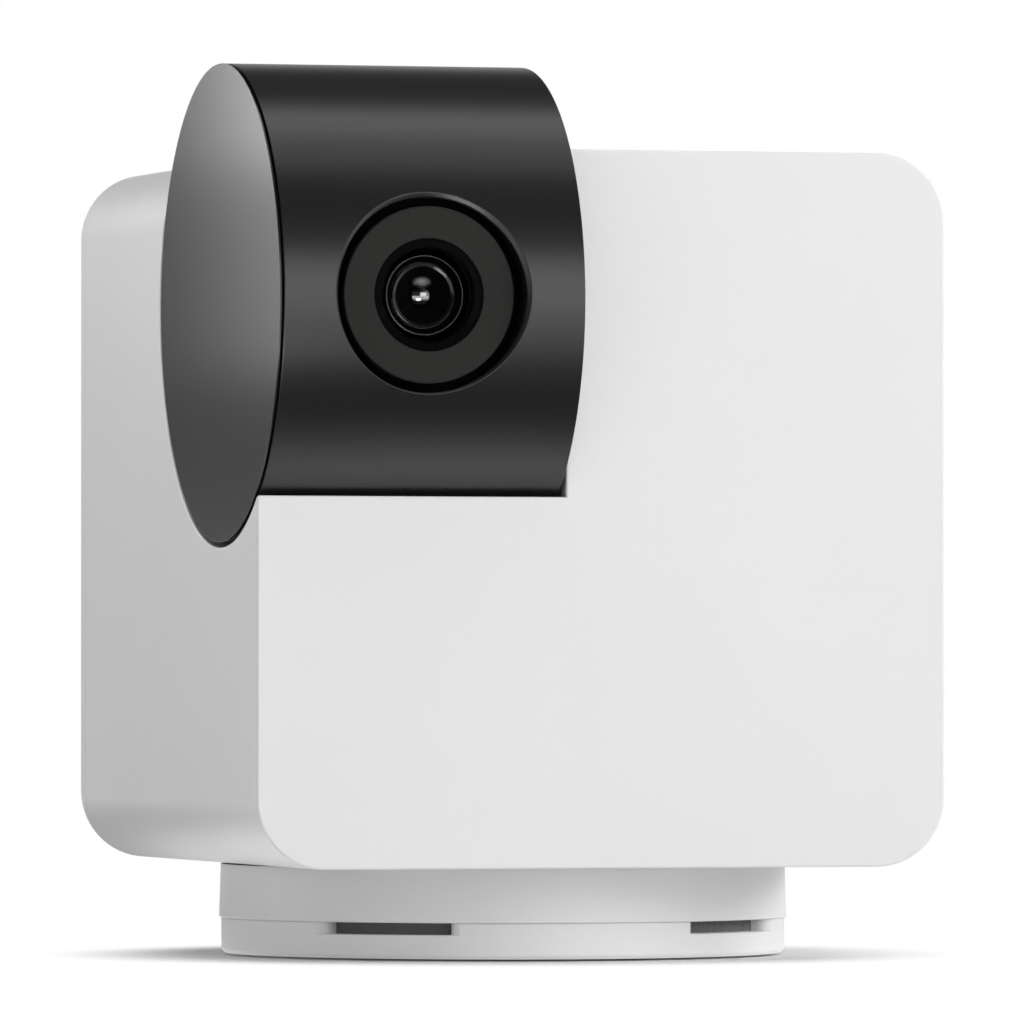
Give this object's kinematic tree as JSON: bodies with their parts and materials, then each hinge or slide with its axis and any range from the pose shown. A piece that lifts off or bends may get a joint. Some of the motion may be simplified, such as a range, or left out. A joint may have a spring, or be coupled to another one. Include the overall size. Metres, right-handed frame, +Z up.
{
  "type": "pet camera",
  "caption": "Cubic white home camera for watching pets: the body pans on a round base and a black drum head with the lens tilts in a notch at its upper left.",
  "frame": {"origin": "on the pan axis in the plane that the rubber foot stands on, at the mouth of the tripod thread", "axes": "+Z up along the pan axis, lens looking along -Y at rest, +X to the right seen from the front"},
  "size_m": [0.062, 0.0721, 0.0781],
  "materials": {
    "white_shell": "fine satin moulded plastic",
    "black_shell": "satin gloss black",
    "end_disc": "satin dark disc",
    "bezel_grey": "flat dark grey",
    "black_inner": "matt black",
    "cover_glass": "dark clear cover",
    "lens_glass": "coated lens",
    "foot_rubber": "grippy grey rubber",
    "soft_black": "soft foam and rubber",
    "gear_plastic": "natural acetal",
    "board_green": "solder mask",
    "steel": "plated steel",
    "motor_can": "zinc-plated can",
    "brass": "turned brass and copper foil",
    "sensor_dark": "dark glossy chip",
    "connector_ivory": "nylon housing",
    "wire_red": "insulated wire"
  },
  "bodies": {
    "base": {"base_bottom_plate": "white_shell", "base_top_cover": "white_shell", "foot_ring": "foot_rubber", "tripod_insert": "brass", "base_screws": "steel", "thrust_washer": "gear_plastic", "pan_gear": "gear_plastic", "pan_retainer": "steel", "base_board": "board_green", "usb_socket": "steel", "speaker": "black_inner", "speaker_gasket": "soft_black", "base_cable": "wire_red"},
    "housing": {"body_shell": "white_shell", "rear_cover": "white_shell", "cover_screws": "steel", "pan_bush": "gear_plastic", "pan_motor": "motor_can", "pan_motor_bracket": "steel", "tilt_bush": "gear_plastic", "tilt_motor": "motor_can", "tilt_motor_bracket": "steel", "motor_screws": "steel", "main_board": "board_green", "board_connectors": "connector_ivory", "board_screws": "steel", "processor_shield": "steel", "wifi_antenna": "brass", "button_switch": "black_inner", "microphone": "brass", "microphone_boot": "soft_black", "pan_loom": "wire_red", "head_link_cable": "wire_red"},
    "pan_pinion": {"pan_pinion": "gear_plastic"},
    "tilt_pinion": {"tilt_pinion": "gear_plastic"},
    "setup_button": {"setup_button": "white_shell"},
    "head": {"head_shell": "black_shell", "head_end_cap": "end_disc", "lens_trim": "black_inner", "lens_bezel": "bezel_grey", "lens_glass": "cover_glass", "lens_barrel": "black_inner", "front_lens": "lens_glass", "lens_holder": "black_inner", "image_sensor": "sensor_dark", "sensor_board": "board_green", "sensor_screws": "steel", "ir_board": "black_inner", "ir_leds": "sensor_dark", "tilt_washer": "gear_plastic", "tilt_gear": "gear_plastic", "tilt_retainer": "steel", "head_connector": "connector_ivory", "head_cable": "wire_red"}
  },
  "joints": [
    {"name": "pan", "type": "hinge", "parent": "base", "child": "housing", "pos_m": [0, 0, 0.00825], "axis": [0, 0, 1], "range_deg": [-172.5, 172.5]},
    {"name": "tilt", "type": "hinge", "parent": "housing", "child": "head", "pos_m": [0, -0.019, 0.0573], "axis": [-1, 0, 0], "range_deg": [-20, 90]},
    {"name": "pan_pinion_spin", "type": "hinge", "parent": "housing", "child": "pan_pinion", "pos_m": [0.01315, 0.01315, 0.0114], "axis": [0, 0, 1], "range_deg": [-720, 720]},
    {"name": "tilt_pinion_spin", "type": "hinge", "parent": "housing", "child": "tilt_pinion", "pos_m": [0, -0.01009, 0.04839], "axis": [-1, 0, 0], "range_deg": [-226, 51]},
    {"name": "button_press", "type": "slide", "parent": "housing", "child": "setup_button", "axis": [0, -1, 0], "range_m": [0, 0.0006], "stiffness_N_per_m": 500}
  ],
  "couplings": [
    {"joint": "pan_pinion_spin", "follows": "pan", "ratio": 4.1667},
    {"joint": "tilt_pinion_spin", "follows": "tilt", "ratio": -2.5}
  ]
}
